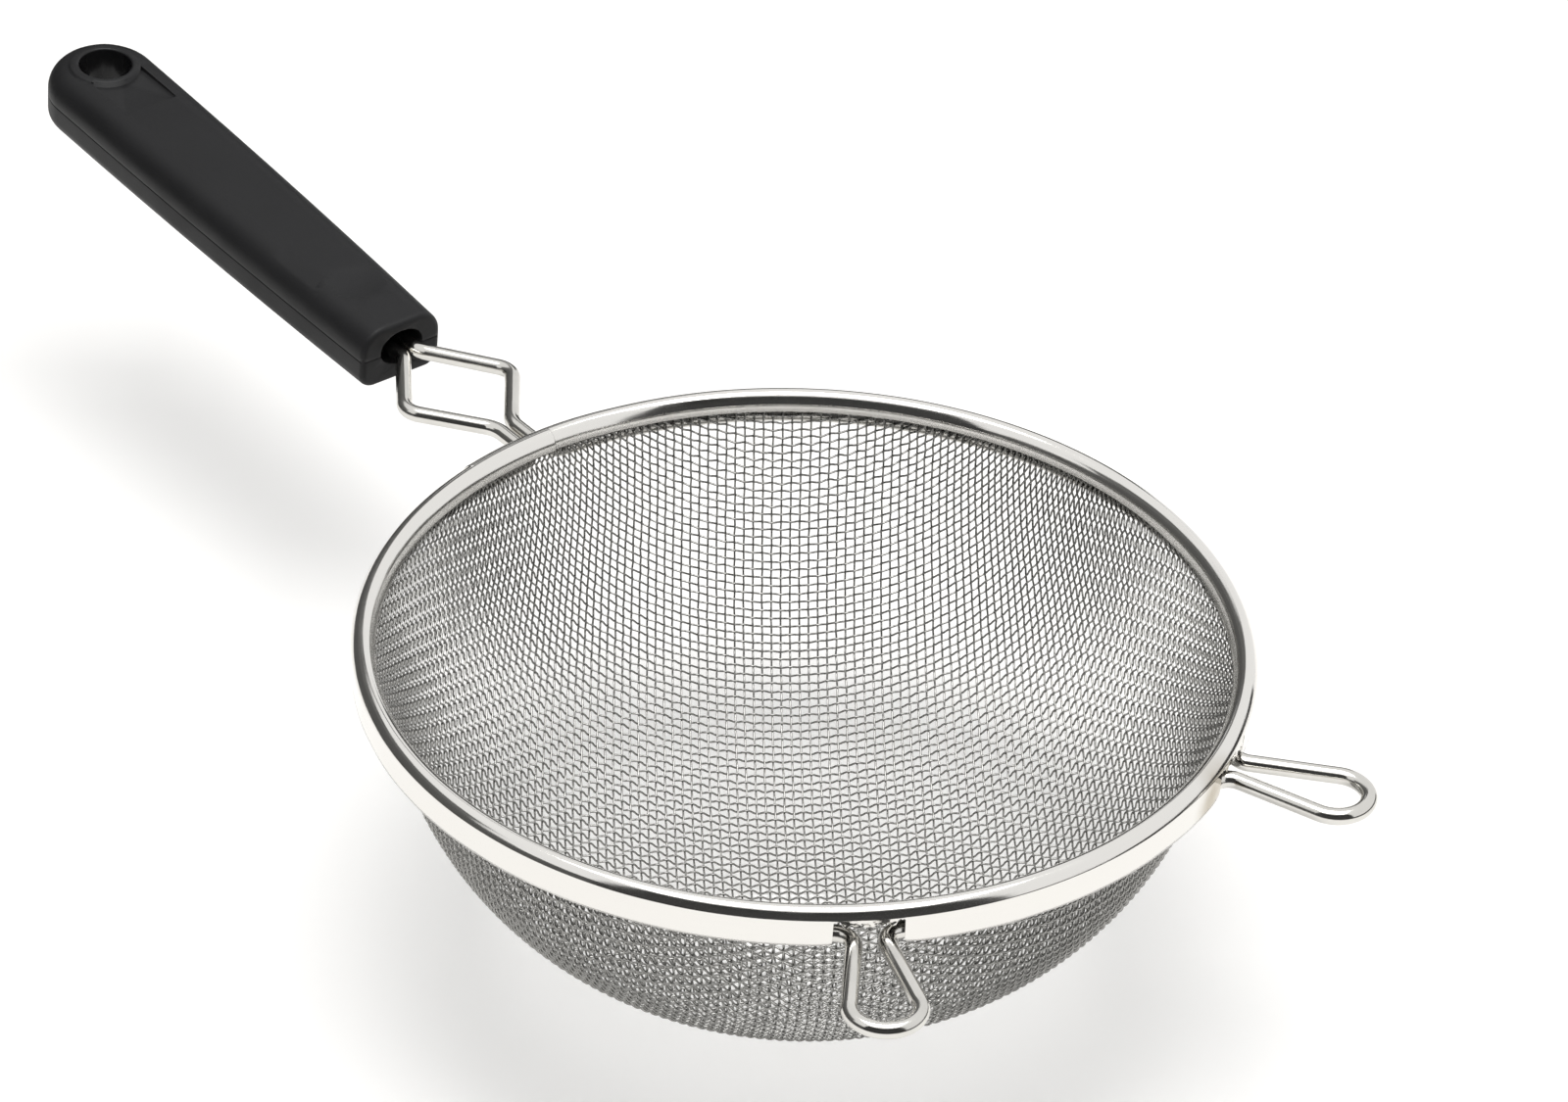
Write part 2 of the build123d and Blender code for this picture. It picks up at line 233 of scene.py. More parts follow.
def mesh_from(name, points, faces, places=None):
    """A smooth-shaded mesh of the points, in metres, and of arrays of faces with the same corner count.

    Where the closed shape's volume, a sum over triangles of a . (b x c) / 6, comes out negative, every
    face is turned round, so that all of them look outwards.
    """
    points = np.asarray(points, float).reshape(-1, 3)
    volume = 0.0
    for group in faces:
        for k in range(1, group.shape[1] - 1):
            a, b, c = points[group[:, 0]], points[group[:, k]], points[group[:, k + 1]]
            volume += np.einsum("ij,ij->", a, np.cross(b, c)) / 6
    if volume < 0:
        faces = [group[:, ::-1] for group in faces]
        places = None if places is None else [group[:, ::-1] for group in places]
    corners = np.concatenate([group.ravel() for group in faces])
    sizes = np.concatenate([np.full(len(group), group.shape[1]) for group in faces])
    starts = np.concatenate([[0], np.cumsum(sizes)[:-1]])
    mesh = bpy.data.meshes.new(name)
    mesh.vertices.add(len(points))
    mesh.vertices.foreach_set("co", points.astype(np.float32).ravel())
    mesh.loops.add(len(corners))
    mesh.loops.foreach_set("vertex_index", corners.astype(np.int32))
    mesh.polygons.add(len(sizes))
    mesh.polygons.foreach_set("loop_start", starts.astype(np.int32))
    mesh.polygons.foreach_set("use_smooth", np.ones(len(sizes), bool))
    mesh.update(calc_edges=True)
    if places is not None:
        layer = mesh.uv_layers.new(name="surface")
        flat = np.concatenate([group.reshape(-1, 2) for group in places])
        layer.data.foreach_set("uv", flat.astype(np.float32).ravel())
    if mesh.validate():
        raise RuntimeError(f"{name} has faces that Blender had to mend")
    return mesh


def piece(name, mesh, surface, slot, *nodes):
    """Shows the mesh as a named piece that rides on the body and stands for the CAD nodes."""
    mesh.materials.clear()
    mesh.materials.append(surface)
    made = bpy.data.objects.new(name, mesh)
    bpy.context.scene.collection.objects.link(made)
    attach(made, BODY)
    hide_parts(*nodes)
    return made


def arc(centre, radius, start, end, count):
    """Points on a circle about the centre, from one angle to the other, in radians."""
    turn = np.linspace(start, end, count)
    return np.stack([centre[0] + radius * np.cos(turn), centre[1] + radius * np.sin(turn)], -1)


# Rim band.


def band_outline(b):
    """The strip's outer line in half section, as (radius, height) from the lip down to the skirt.

    The lip rises upright. The bead is three tangent arcs: a flat inner flank, a round crown and a
    flat outer flank. A crease ends it at the top of the skirt, the last point here. The crown's
    radius is what the width leaves over, since an arc of radius R between the slopes a and b is
    R (cos a - cos b) wide and R (sin b - sin a) high.
    """
    inner, outer, crown = b.inner_flank_r, b.outer_flank_r, math.cos(b.flank)
    width = b.rim_r - b.lip_r - inner * (1 - crown) - outer * (math.cos(b.crease) - crown)
    crown_r = width / (2 * crown)
    lift = (inner - crown_r) * math.sin(b.flank)
    crown_at = np.array([b.lip_r + inner - (inner - crown_r) * crown, b.top - crown_r])
    inner_at = crown_at + [(inner - crown_r) * crown, -lift]
    outer_at = crown_at - (outer - crown_r) * np.array([crown, math.sin(b.flank)])
    parts = [
        arc(inner_at, inner, math.pi, math.pi - b.flank, 8),
        arc(crown_at, crown_r, math.pi - b.flank, b.flank, 17)[1:],
        arc(outer_at, outer, b.flank, b.crease, 8)[1:],
    ]
    bead = np.concatenate(parts)
    lip = np.array([[b.lip_r, b.lip_low], [b.lip_r, (b.lip_low + bead[0, 1]) / 2]])
    return np.concatenate([lip, bead])


def inward(line, distance):
    """The line moved square to itself, to the right of its direction, by the distance."""
    along = unit(np.gradient(line, axis=0))
    return line + distance * np.stack([along[:, 1], -along[:, 0]], -1)


def notch_edge(b):
    """The lower edge's height past one side of a gap, as (distance from its middle, height).

    It runs under the bead along a torn strip of uneven width, rises to the bead at the strip's end,
    turns down round the gap's corner, falls almost upright and turns out round the skirt's own corner.
    """
    top, r = band_outline(b)[-1, 1], b.notch_corner
    aside = np.linspace(0, b.notch_half - r, 36)[:-1]
    # Two sines of unlike length tear the strip's edge. It ends short of the gap's side, in a stub.
    tear = np.sin(aside / (0.9 * MM)) * np.sin(aside / (0.53 * MM) + 1)
    strip_end, fade, stub = b.notch_half - 1.3 * MM, 0.7 * MM, 0.12
    torn = b.notch_strip * (0.75 + 0.3 * tear) * np.clip((strip_end - aside) / fade, stub, 1)
    corner = (b.notch_half - r, top - stub * b.notch_strip - r)
    soft, splay = 0.7 * MM, 0.12 * MM
    inner = arc(corner, r, math.pi / 2, 0.05, 6)
    outer = arc((b.notch_half + soft + splay, soft), soft, math.pi * 0.98, math.pi * 1.5, 6)
    return np.concatenate([np.stack([aside, top - torn], -1), inner, outer])


def strip_columns(b):
    """Azimuths along the strip, its inner end first, and the height of its lower edge at each."""
    end = b.lap_from + 2 * math.pi + b.lap_arc
    turns = np.linspace(b.lap_from, end, 760)
    heights = np.zeros_like(turns)
    edge = notch_edge(b)
    both = np.concatenate([edge[::-1] * [-1, 1], edge[1:]])
    for middle in BAND_GAPS:
        around = middle + both[:, 0] / b.rim_r
        keep = (turns < around[0]) | (turns > around[-1])
        inside = (around >= turns[0]) & (around <= turns[-1])
        turns = np.concatenate([turns[keep], around[inside]])
        heights = np.concatenate([heights[keep], both[inside, 1]])
        order = np.argsort(turns, kind="stable")
        turns, heights = turns[order], heights[order]
    return turns, heights


def waves(turns, count, seed):
    """A smooth seeded wander between about -1 and 1: sines of growing count with falling strength."""
    draw = np.random.default_rng(seed)
    total = np.zeros_like(turns)
    for k in range(1, count + 1):
        total += np.sin(turns * k * 3 + draw.uniform(0, 2 * math.pi)) / k**0.6
    return total / 3


def strip_sections(b, lower):
    """One closed section of the strip for each height of its lower edge, as (radius, height).

    Each goes down the outer face and back up the inner one. The skirt's rows run from the crease
    down to the lower edge.
    """
    head = band_outline(b)
    skirt_top = head[-1, 1]
    skirt_share = np.append(0.02, np.linspace(0.06, 1, 9))
    sides = []
    for inset in (0.0, b.sheet):
        line = inward(head, inset)
        r = np.broadcast_to(line[:, 0], (len(lower), len(line)))
        z = np.broadcast_to(line[:, 1], (len(lower), len(line)))
        skirt_z = skirt_top + (lower[:, None] - skirt_top) * skirt_share
        skirt_r = np.full_like(skirt_z, b.rim_r - inset)
        sides.append(np.stack([np.hstack([r, skirt_r]), np.hstack([z, skirt_z])], -1))
    outer, inner = sides
    return np.concatenate([outer, inner[:, ::-1]], axis=1)


def worked_radius(b, turns, radius, height):
    """The sections' radii as the strip was worked by the machine that closed it.

    Past the lap the whole section is one sheet further out. The skirt is tucked in beside each gap,
    the torn strip in a gap is bent out over the wires and crumpled, and the rest wanders a little.
    """
    lap_step, tuck_depth, tuck_reach, bend_reach = 1.05 * b.sheet, 0.3 * MM, 2.2 * MM, 0.6 * MM
    # The strip is drawn in by the slack, so that the wander stays inside the solid's outline.
    wander, slack = 0.1 * MM, 0.12 * MM
    skirt_top = band_outline(b)[-1, 1]
    drop = np.clip((skirt_top - height) / skirt_top, 0, 1) * (radius > b.rim_r - 1.5 * b.sheet)
    lapped = np.clip((turns - turns[-1] + 2 * b.lap_arc) / b.lap_arc, 0, 1)
    lapped = lapped * lapped * (3 - 2 * lapped)
    radius = radius + lap_step * lapped[:, None]
    past_gap = np.min([np.abs(turns - m) for m in BAND_GAPS], axis=0) * b.rim_r - b.notch_half
    tuck = np.exp(-((np.clip(past_gap, 0, None) / tuck_reach) ** 2))
    radius = radius - tuck_depth * tuck[:, None] * drop**2
    bent = np.clip(-past_gap / bend_reach, 0, 1)[:, None]
    bent = bent * np.clip(drop * skirt_top / b.notch_strip, 0, 1)
    crumple = 0.25 + 0.35 * waves(turns * 31, 5, 7)[:, None] * np.sin(drop * 26)
    radius = radius + MM * bent * crumple
    return radius + wander * waves(turns, 14, 11)[:, None] * (0.25 + 0.75 * drop) - slack


def band_mesh(b):
    """The strip swept round the axis: each column is the section turned to its azimuth."""
    turns, lower = strip_columns(b)
    loop = strip_sections(b, lower)
    radius = worked_radius(b, turns, loop[..., 0], loop[..., 1])
    c, s = np.cos(turns)[:, None], np.sin(turns)[:, None]
    spot = np.stack([radius * c, radius * s, loop[..., 1]], -1)
    across = np.concatenate([[0], np.cumsum(np.hypot(*np.diff(loop[0], axis=0).T))])
    across = np.append(across, across[-1] + b.sheet)
    quads, places = grid(turns * b.rim_r, across, wrap=True)
    columns = loop.shape[1]
    k = np.arange(columns // 2 - 1)
    cap = np.stack([k, k + 1, columns - 2 - k, columns - 1 - k], -1)
    last = cap[:, ::-1] + (len(turns) - 1) * columns
    faces = [np.concatenate([quads, cap, last])]
    flat = np.zeros((2 * len(cap), 4, 2))
    return mesh_from("rim_band", spot, faces, [np.concatenate([places, flat])])


# Frame wire.


def rounded(corners, bends):
    """Points of a flat path: straight runs joined by an arc of the given radius at each inner corner.

    With unit directions a into a corner and b out of it, the arc's centre lies along b - a at the
    radius over the cosine of half the turn, and its points swing about that by half the turn.
    """
    corners = np.asarray(corners, float)
    points = [corners[:1]]
    for before, at, after, bend in zip(corners, corners[1:], corners[2:], bends):
        a, b = unit(at - before), unit(after - at)
        half = math.acos(np.clip(a @ b, -1, 1)) / 2
        out, along = unit(b - a), unit(a + b)
        swing = np.linspace(-half, half, 4 + int(half * 22))[:, None]
        centre = at + out * bend / math.cos(half)
        points.append(centre + bend * (along * np.sin(swing) - out * np.cos(swing)))
    points.append(corners[-1:])
    return np.concatenate(points)


def turned(points, azimuth):
    """Flat points turned about the axis."""
    c, s = math.cos(azimuth), math.sin(azimuth)
    return points @ np.array([[c, s], [-s, c]])


def wire_path(w):
    """The frame wire's centre line from the left tang round the bowl to the right tang."""
    root_angle = math.asin(w.root_half / w.hoop_r)
    root_r = w.hoop_r * math.cos(root_angle)
    slope, flare = math.tan(root_angle), math.tan(w.ear_flare)
    leg_x = (root_r + slope * (w.root_half - w.ear_root + root_r * flare)) / (1 + slope * flare)
    leg_y = w.ear_root + (leg_x - root_r) * flare
    tip_y = w.ear_root + (w.ear_tip - root_r) * flare
    half_ear = [(root_r, w.root_half), (leg_x, leg_y), (w.ear_tip, tip_y)]
    ear = half_ear + [(x, -y) for x, y in half_ear[::-1]]
    ear = rounded(ear, [w.root_bend, w.ear_bend, w.ear_bend, w.root_bend])
    neck_x = root_r + slope * (w.root_half - w.neck_half)
    neck = [(-w.tang_to, w.neck_half), (-w.diamond_to, w.neck_half), (-w.diamond_widest, w.diamond_half)]
    neck += [(-w.diamond_from, w.neck_half), (-neck_x, w.neck_half), (-root_r, w.root_half)]
    neck = rounded(neck, [w.neck_bend, w.diamond_bend, w.neck_bend, w.root_bend])
    side = arc((0, 0), w.hoop_r, math.pi - root_angle, w.ear_azimuth + root_angle, 120)[1:-1]
    front = arc((0, 0), w.hoop_r, w.ear_azimuth - root_angle, 0, 30)[1:]
    half = np.concatenate([neck, side, turned(ear, w.ear_azimuth), front])
    return np.concatenate([half, half[-2::-1] * [1, -1]])


def wire_mesh(w):
    """A round tube along the flat path: centre + r (cos t n + sin t z), with n square to the path."""
    path = wire_path(w)
    run = np.append(0, np.cumsum(np.linalg.norm(np.diff(path, axis=0), axis=1)))
    along = unit(np.gradient(path, run, axis=0))
    across = np.stack([along[:, 1], -along[:, 0]], -1)
    sides = 28
    swing = np.linspace(0, 2 * math.pi, sides + 1)
    ring = swing[:-1]
    flat = path[:, None] + w.wire_r * np.cos(ring)[None, :, None] * across[:, None]
    height = np.broadcast_to(w.wire_r * (1 + np.sin(ring)), flat.shape[:2])
    points = np.concatenate([flat, height[..., None]], -1).reshape(-1, 3)
    quads, places = grid(run, swing * w.wire_r, wrap=True)
    start = np.arange(sides)[None]
    caps = np.concatenate([start, start[:, ::-1] + (len(path) - 1) * sides])
    return mesh_from("frame_wire", points, [quads, caps], [places, np.zeros((2, sides, 2))])


# Woven bowl.


def bowl_curve(v):
    """Half section through the middle of the weave, as (distance from the pole, radius, height).

    A dome arc, a tighter knuckle arc tangent to it, a straight leaning wall and an upright edge. The
    edge is carried on far above the band, so that the net can be worked out past it.
    """
    inset, lean, far_above = v.wire * (0.5 + v.weft_crimp), v.wall_lean, 0.2
    outer_r = v.edge_r + v.wire
    ease = v.dome_r - v.knuckle_r
    reach = outer_r * math.cos(lean) - v.knuckle_r + (v.dome_r - v.depth) * math.sin(lean)
    meet = math.asin(reach / ease) - lean
    dome_z = v.dome_r - v.depth + WIRE_Z
    knuckle = (ease * math.sin(meet), dome_z - ease * math.cos(meet))
    down = -math.pi / 2
    dome = arc((0, dome_z), v.dome_r - inset, down, down + meet, DOME_POINTS)
    turn = arc(knuckle, v.knuckle_r - inset, down + meet, -lean, 300)[1:]
    wall = np.array([[v.edge_r, WIRE_Z], [v.edge_r, v.edge_top], [v.edge_r, far_above]])
    line = np.concatenate([dome, turn, wall])
    run = np.append(0, np.cumsum(np.linalg.norm(np.diff(line, axis=0), axis=1)))
    return run, line[:, 0], line[:, 1]


def edge_run(v, curve):
    """Distance from the pole, along the surface, to the weave's edge inside the bead."""
    run, _, height = curve
    return float(np.interp(v.edge_top, height[DOME_POINTS:], run[DOME_POINTS:]))


def on_bowl(curve, flat):
    """Places on the bowl, and how they move with the flat ones.

    A flat place is the distance from the pole along the surface, laid off in the direction of its
    azimuth. The two rates are the surface's tangents along the flat x and y.
    """
    run, radius, height = curve
    s = np.maximum(np.linalg.norm(flat, axis=-1), 1e-9)
    c = flat / s[..., None]
    r, z = np.interp(s, run, radius), np.interp(s, run, height)
    dr = np.interp(s, run, np.gradient(radius, run))
    dz = np.interp(s, run, np.gradient(height, run))
    place = np.concatenate([r[..., None] * c, z[..., None]], -1)
    side = np.stack([-c[..., 1], c[..., 0]], -1)
    level_side = np.concatenate([side, np.zeros_like(s)[..., None]], -1)
    rates = []
    for k in (0, 1):
        outward = c[..., k, None] * np.concatenate([dr[..., None] * c, dz[..., None]], -1)
        around = (side[..., k] * r / s)[..., None] * level_side
        rates.append(outward + around)
    return place, rates[0], rates[1]


def net(v, curve):
    """Crossings of a net of wires of fixed spacing laid over the bowl, in one quarter of it.

    The two wires through the pole run straight up the bowl. Each further crossing lies one warp
    spacing from its neighbour on one side and one weft spacing from that on the other, both
    measured in space, and is found by Newton's method, a whole diagonal of crossings at a time.
    The net reaches past the bowl's edge by as much as the stretch can pull it in.
    """
    pulled_in = 16 * MM
    reach = edge_run(v, curve) + pulled_in
    along, across = int(reach / v.weft_pitch) + 2, int(reach / v.warp_pitch) + 2
    flat = np.zeros((along, across, 2))
    flat[:, 0, 0] = np.arange(along) * v.weft_pitch
    flat[0, :, 1] = np.arange(across) * v.warp_pitch
    for diagonal in range(2, along + across - 1):
        i = np.arange(max(1, diagonal - across + 1), min(along, diagonal))
        j = diagonal - i
        a, b = flat[i - 1, j], flat[i, j - 1]
        at_a, at_b = on_bowl(curve, a)[0], on_bowl(curve, b)[0]
        guess = a + b - flat[i - 1, j - 1]
        for _ in range(9):
            place, du, dv = on_bowl(curve, guess)
            to_a, to_b = place - at_a, place - at_b
            miss_a = (to_a**2).sum(-1) - v.weft_pitch**2
            miss_b = (to_b**2).sum(-1) - v.warp_pitch**2
            a_u, a_v = 2 * (to_a * du).sum(-1), 2 * (to_a * dv).sum(-1)
            b_u, b_v = 2 * (to_b * du).sum(-1), 2 * (to_b * dv).sum(-1)
            whole = a_u * b_v - a_v * b_u
            step = np.stack([b_v * miss_a - a_v * miss_b, a_u * miss_b - b_u * miss_a], -1)
            step = step / whole[:, None]
            size = np.linalg.norm(step, axis=-1, keepdims=True)
            guess = guess - step * np.minimum(1, MM / np.maximum(size, 1e-12))
        flat[i, j] = guess
    return flat


def whole_net(v, curve):
    """The quarter net mirrored to all four, stretched, strayed a little by a seeded draw, and turned.

    Pressing stretches the weave's middle and pulls its corners in. Each coordinate is multiplied by
    a sum of a constant and a share of each coordinate's square, with 125 mm as the unit.
    """
    quarter = net(v, curve)
    half = np.concatenate([quarter[:0:-1] * [-1, 1], quarter])
    full = np.concatenate([half[:, :0:-1] * [1, -1], half], axis=1)
    constant, by_square = [1.024, 1.001], np.array([[-0.022, 0.019], [0.161, -0.062]])
    squares = (full / 0.125) ** 2
    full = full * (constant + squares @ by_square)
    draw = np.random.default_rng(5)
    full = full + draw.normal(0, v.unevenness, full.shape)
    return turned(full, v.turn)


def strands(v, curve, flat, lift, crimp):
    """Centre lines of the wires along the net's first direction, with how far each point is up the bowl.

    Between two crossings the wire swings from one side of the surface to the other as a flattened
    cosine, by its share of a wire's diameter each way; lift says on which side it starts. Under the
    band the weave is pressed flat, and both families swing alike.
    """
    finer, under_band, ease = 6, 10 * MM, 4 * MM
    count = (flat.shape[0] - 1) * finer + 1
    at = np.arange(count) / finer
    low = np.minimum(at.astype(int), flat.shape[0] - 2)
    part = (at - low)[:, None, None]
    spot = flat[low] * (1 - part) + flat[low + 1] * part
    place, du, dv = on_bowl(curve, spot)
    normal = unit(np.cross(dv, du))
    parity = (-1.0) ** np.arange(flat.shape[1])
    up = np.linalg.norm(spot, axis=-1)
    pressed = np.clip((up - edge_run(v, curve) + under_band) / ease, 0, 1)
    wave = np.cos(math.pi * at)
    wave = np.sign(wave) * np.abs(wave) ** 0.8
    swing = lift * v.wire * (crimp + (0.5 - crimp) * pressed) * wave[:, None] * parity[None]
    line = place + normal * swing[..., None]
    return line, normal, up


def tube_mesh(name, line, normal, keep, r):
    """Five-sided tubes round the kept stretch of each line, capped at both ends.

    With t along the line and n the bowl's normal, the ring is r (cos a n' + sin a b), where b is
    t x n and n' is b x t.
    """
    sides = 5
    along = unit(np.gradient(line, axis=0))
    b = unit(np.cross(along, normal))
    n = np.cross(b, along)
    a = np.arange(sides) * 2 * math.pi / sides
    ring = np.cos(a)[:, None] * n[:, :, None] + np.sin(a)[:, None] * b[:, :, None]
    points = line[:, :, None] + r * ring
    number = np.full(keep.shape, -1)
    number[keep] = np.arange(keep.sum())
    here = keep[:-1] & keep[1:]
    low, high = number[:-1][here] * sides, number[1:][here] * sides
    k, k2 = np.arange(sides), (np.arange(sides) + 1) % sides
    quads = np.stack([low[:, None] + k, high[:, None] + k, high[:, None] + k2, low[:, None] + k2], -1)
    padded = np.pad(keep, ((1, 1), (0, 0)))
    starts = number[keep & ~padded[:-2]] * sides
    ends = number[keep & ~padded[2:]] * sides
    caps = np.concatenate([starts[:, None] + k, ends[:, None] + k[::-1]])
    return mesh_from(name, points[keep], [quads.reshape(-1, 4), caps])


# Surface finishes.


def add(tree, kind, settings=None, links=None):
    """Adds one node. Settings are its own attributes or the values of its inputs, by name or number;
    links feed its inputs from other nodes' outputs."""
    node = tree.nodes.new(kind)
    node.location = (len(tree.nodes) * 180 - 2400, 0)
    for key, value in (settings or {}).items():
        if isinstance(key, int) or key in node.inputs:
            node.inputs[key].default_value = value
        else:
            setattr(node, key, value)
    for key, source in (links or {}).items():
        tree.links.new(source, node.inputs[key])
    return node


def material(name, settings):
    """A new material with one Principled shader, its node tree and that shader."""
    made = bpy.data.materials.new(name)
    made.use_nodes = True
    tree = made.node_tree
    shader = tree.nodes["Principled BSDF"]
    for key, value in settings.items():
        shader.inputs[key].default_value = value
    return made, tree, shader


def noise(tree, place, scale, detail):
    """Noise over the given places, between 0 and 1."""
    made = add(tree, "ShaderNodeTexNoise", {"Scale": scale, "Detail": detail}, {"Vector": place})
    return made.outputs["Fac"]


def line_noise(tree, coords, long, apart):
    """Noise drawn out into lines along the UV map's first direction, of these sizes in metres."""
    settings = {"Scale": (1 / long, 1 / apart, 1)}
    place = add(tree, "ShaderNodeMapping", settings, {"Vector": coords.outputs["UV"]})
    return noise(tree, place.outputs[0], 1.0, 3.0)


def remap(tree, value, old, new, shape="LINEAR"):
    """The value carried from the old range to the new one, and held at its ends."""
    settings = {"interpolation_type": shape, "From Min": old[0], "From Max": old[1]}
    settings |= {"To Min": new[0], "To Max": new[1]}
    return add(tree, "ShaderNodeMapRange", settings, {"Value": value}).outputs[0]


def distance_from(tree, coords, place):
    """Distance from a place on the object."""
    settings = {"operation": "DISTANCE", 1: place}
    made = add(tree, "ShaderNodeVectorMath", settings, {0: coords.outputs["Object"]})
    return made.outputs["Value"]


def mixed(tree, first, second, part):
    """A colour between the first and the second, by the second's part."""
    settings = {"data_type": "RGBA", 6: tuple(first), 7: tuple(second)}
    return add(tree, "ShaderNodeMix", settings, {0: part}).outputs[2]


def bump(tree, height, strength, depth):
    """A normal bent by a height, for fine texture only, of the given depth in metres."""
    settings = {"Strength": strength, "Distance": depth}
    return add(tree, "ShaderNodeBump", settings, {"Height": height}).outputs[0]


def toned(base, factor):
    """The colour made darker or lighter by a factor."""
    return (*[factor * part for part in base[:3]], 1.0)


def rolled_steel(c):
    """Cold-rolled stainless strip, polished: near-mirror, with faint rolling lines round the band,
    handling marks, and the straw-brown oxide that heat leaves beside the ear."""
    made, tree, shader = material("rolled_stainless_strip", {"Metallic": 1.0})
    coords = add(tree, "ShaderNodeTexCoord")
    # Rolling lines are about 25 mm long and 0.25 mm apart, coarser than real ones so that they show.
    grain = line_noise(tree, coords, 0.025, 0.00025)
    # Smears from handling are about 12 mm across.
    smears = noise(tree, coords.outputs["Object"], 80.0, 4.0)
    both = add(tree, "ShaderNodeMath", {"operation": "MULTIPLY_ADD", 1: 0.55}, {0: grain, 2: smears})
    rough = remap(tree, both.outputs[0], (0.55, 1.05), (0.07, 0.2))
    # The oxide fades out between 2 and 12 mm from a spot on the skirt just past the ear's gap.
    azimuth, rim_r = EAR_AT - 0.1, 0.1
    root = Vector((math.cos(azimuth), math.sin(azimuth), 0)) * rim_r
    heat = remap(tree, distance_from(tree, coords, root), (0.002, 0.012), (1.7, 0.0), "SMOOTHSTEP")
    settings = {"operation": "MULTIPLY", "use_clamp": True}
    patchy = add(tree, "ShaderNodeMath", settings, {0: heat, 1: smears})
    tree.links.new(rough, shader.inputs["Roughness"])
    tree.links.new(mixed(tree, c.band, c.tint, patchy.outputs[0]), shader.inputs["Base Color"])
    tree.links.new(bump(tree, grain, 0.12, 0.00005), shader.inputs["Normal"])
    return made


def drawn_steel(c):
    """Stainless wire drawn through a die: bright, with fine lines along it and slight dulling."""
    made, tree, shader = material("drawn_stainless_wire", {"Metallic": 1.0})
    coords = add(tree, "ShaderNodeTexCoord")
    # Die lines are about 30 mm long and 0.4 mm apart round the wire.
    grain = line_noise(tree, coords, 0.03, 0.0004)
    # Dull patches are about 7 mm across.
    patches = noise(tree, coords.outputs["Object"], 140.0, 3.0)
    rough = remap(tree, patches, (0.3, 0.7), (0.1, 0.2))
    tree.links.new(rough, shader.inputs["Roughness"])
    tree.links.new(mixed(tree, c.wire, toned(c.wire, 0.82), patches), shader.inputs["Base Color"])
    tree.links.new(bump(tree, grain, 0.1, 0.00005), shader.inputs["Normal"])
    return made


def woven_steel(c):
    """Fine stainless wire, drawn and woven: duller than the frame wire, its tone uneven in patches
    as the weave's is, and its shine broken up by fine grit."""
    made, tree, shader = material("woven_stainless_wire", {"Metallic": 1.0})
    coords = add(tree, "ShaderNodeTexCoord")
    # Uneven tone in patches of about 9 mm, and grit of about 0.5 mm.
    patches = noise(tree, coords.outputs["Object"], 110.0, 2.0)
    grit = noise(tree, coords.outputs["Object"], 2000.0, 1.0)
    rough = remap(tree, grit, (0.3, 0.7), (0.16, 0.34))
    tree.links.new(rough, shader.inputs["Roughness"])
    tree.links.new(mixed(tree, c.weave, toned(c.weave, 0.72), patches), shader.inputs["Base Color"])
    return made


def moulded_plastic(c):
    """Black polypropylene from a spark-eroded mould: satin pebble grain on the grip, and a polished
    lip round the hanging hole where the mould's core was bright."""
    settings = {"IOR": 1.49, "Specular IOR Level": 0.22}
    made, tree, shader = material("moulded_black_polypropylene", settings)
    coords = add(tree, "ShaderNodeTexCoord")
    # The real pebble grain is about 0.15 mm; it is drawn at 0.35 mm so that it shows.
    pebble = noise(tree, coords.outputs["Object"], 2800.0, 1.5)
    # Wear from hands comes in patches of about 17 mm.
    wear = noise(tree, coords.outputs["Object"], 60.0, 4.0)
    # The bright lip ends, and the grain begins, 10.2 to 11.4 mm from the hole's middle.
    grip = remap(tree, distance_from(tree, coords, HOLE_AT), (0.0102, 0.0114), (0.0, 1.0))
    worn = remap(tree, wear, (0.3, 0.7), (0.42, 0.54))
    rough = add(tree, "ShaderNodeMix", {2: 0.2}, {0: grip, 3: worn})
    depth = add(tree, "ShaderNodeMath", {"operation": "MULTIPLY"}, {0: pebble, 1: grip})
    tree.links.new(rough.outputs[0], shader.inputs["Roughness"])
    tree.links.new(mixed(tree, c.handle, toned(c.handle, 1.5), wear), shader.inputs["Base Color"])
    tree.links.new(bump(tree, depth.outputs[0], 0.25, 0.0001), shader.inputs["Normal"])
    return made


# Operators, one for each piece or group of like pieces.


class StrainerMakeBand(bpy.types.Operator):
    """Rolls the rim band: bead, crease and notched skirt, with its lapped ends"""

    bl_idname = "strainer.make_band"
    bl_label = "Make rim band"

    def execute(self, context):
        scene = context.scene
        mesh = band_mesh(scene.strainer_band)
        piece("rim_band_rolled", mesh, rolled_steel(scene.strainer_colours), "band_steel", "rim_band")
        return {"FINISHED"}


class StrainerMakeWire(bpy.types.Operator):
    """Bends the one frame wire: hoop, two ears, diamond neck and the tangs in the handle"""

    bl_idname = "strainer.make_wire"
    bl_label = "Make frame wire"

    def execute(self, context):
        scene = context.scene
        mesh = wire_mesh(scene.strainer_wire)
        piece("frame_wire", mesh, drawn_steel(scene.strainer_colours), "wire_steel", *WIRE_NODES)
        return {"FINISHED"}


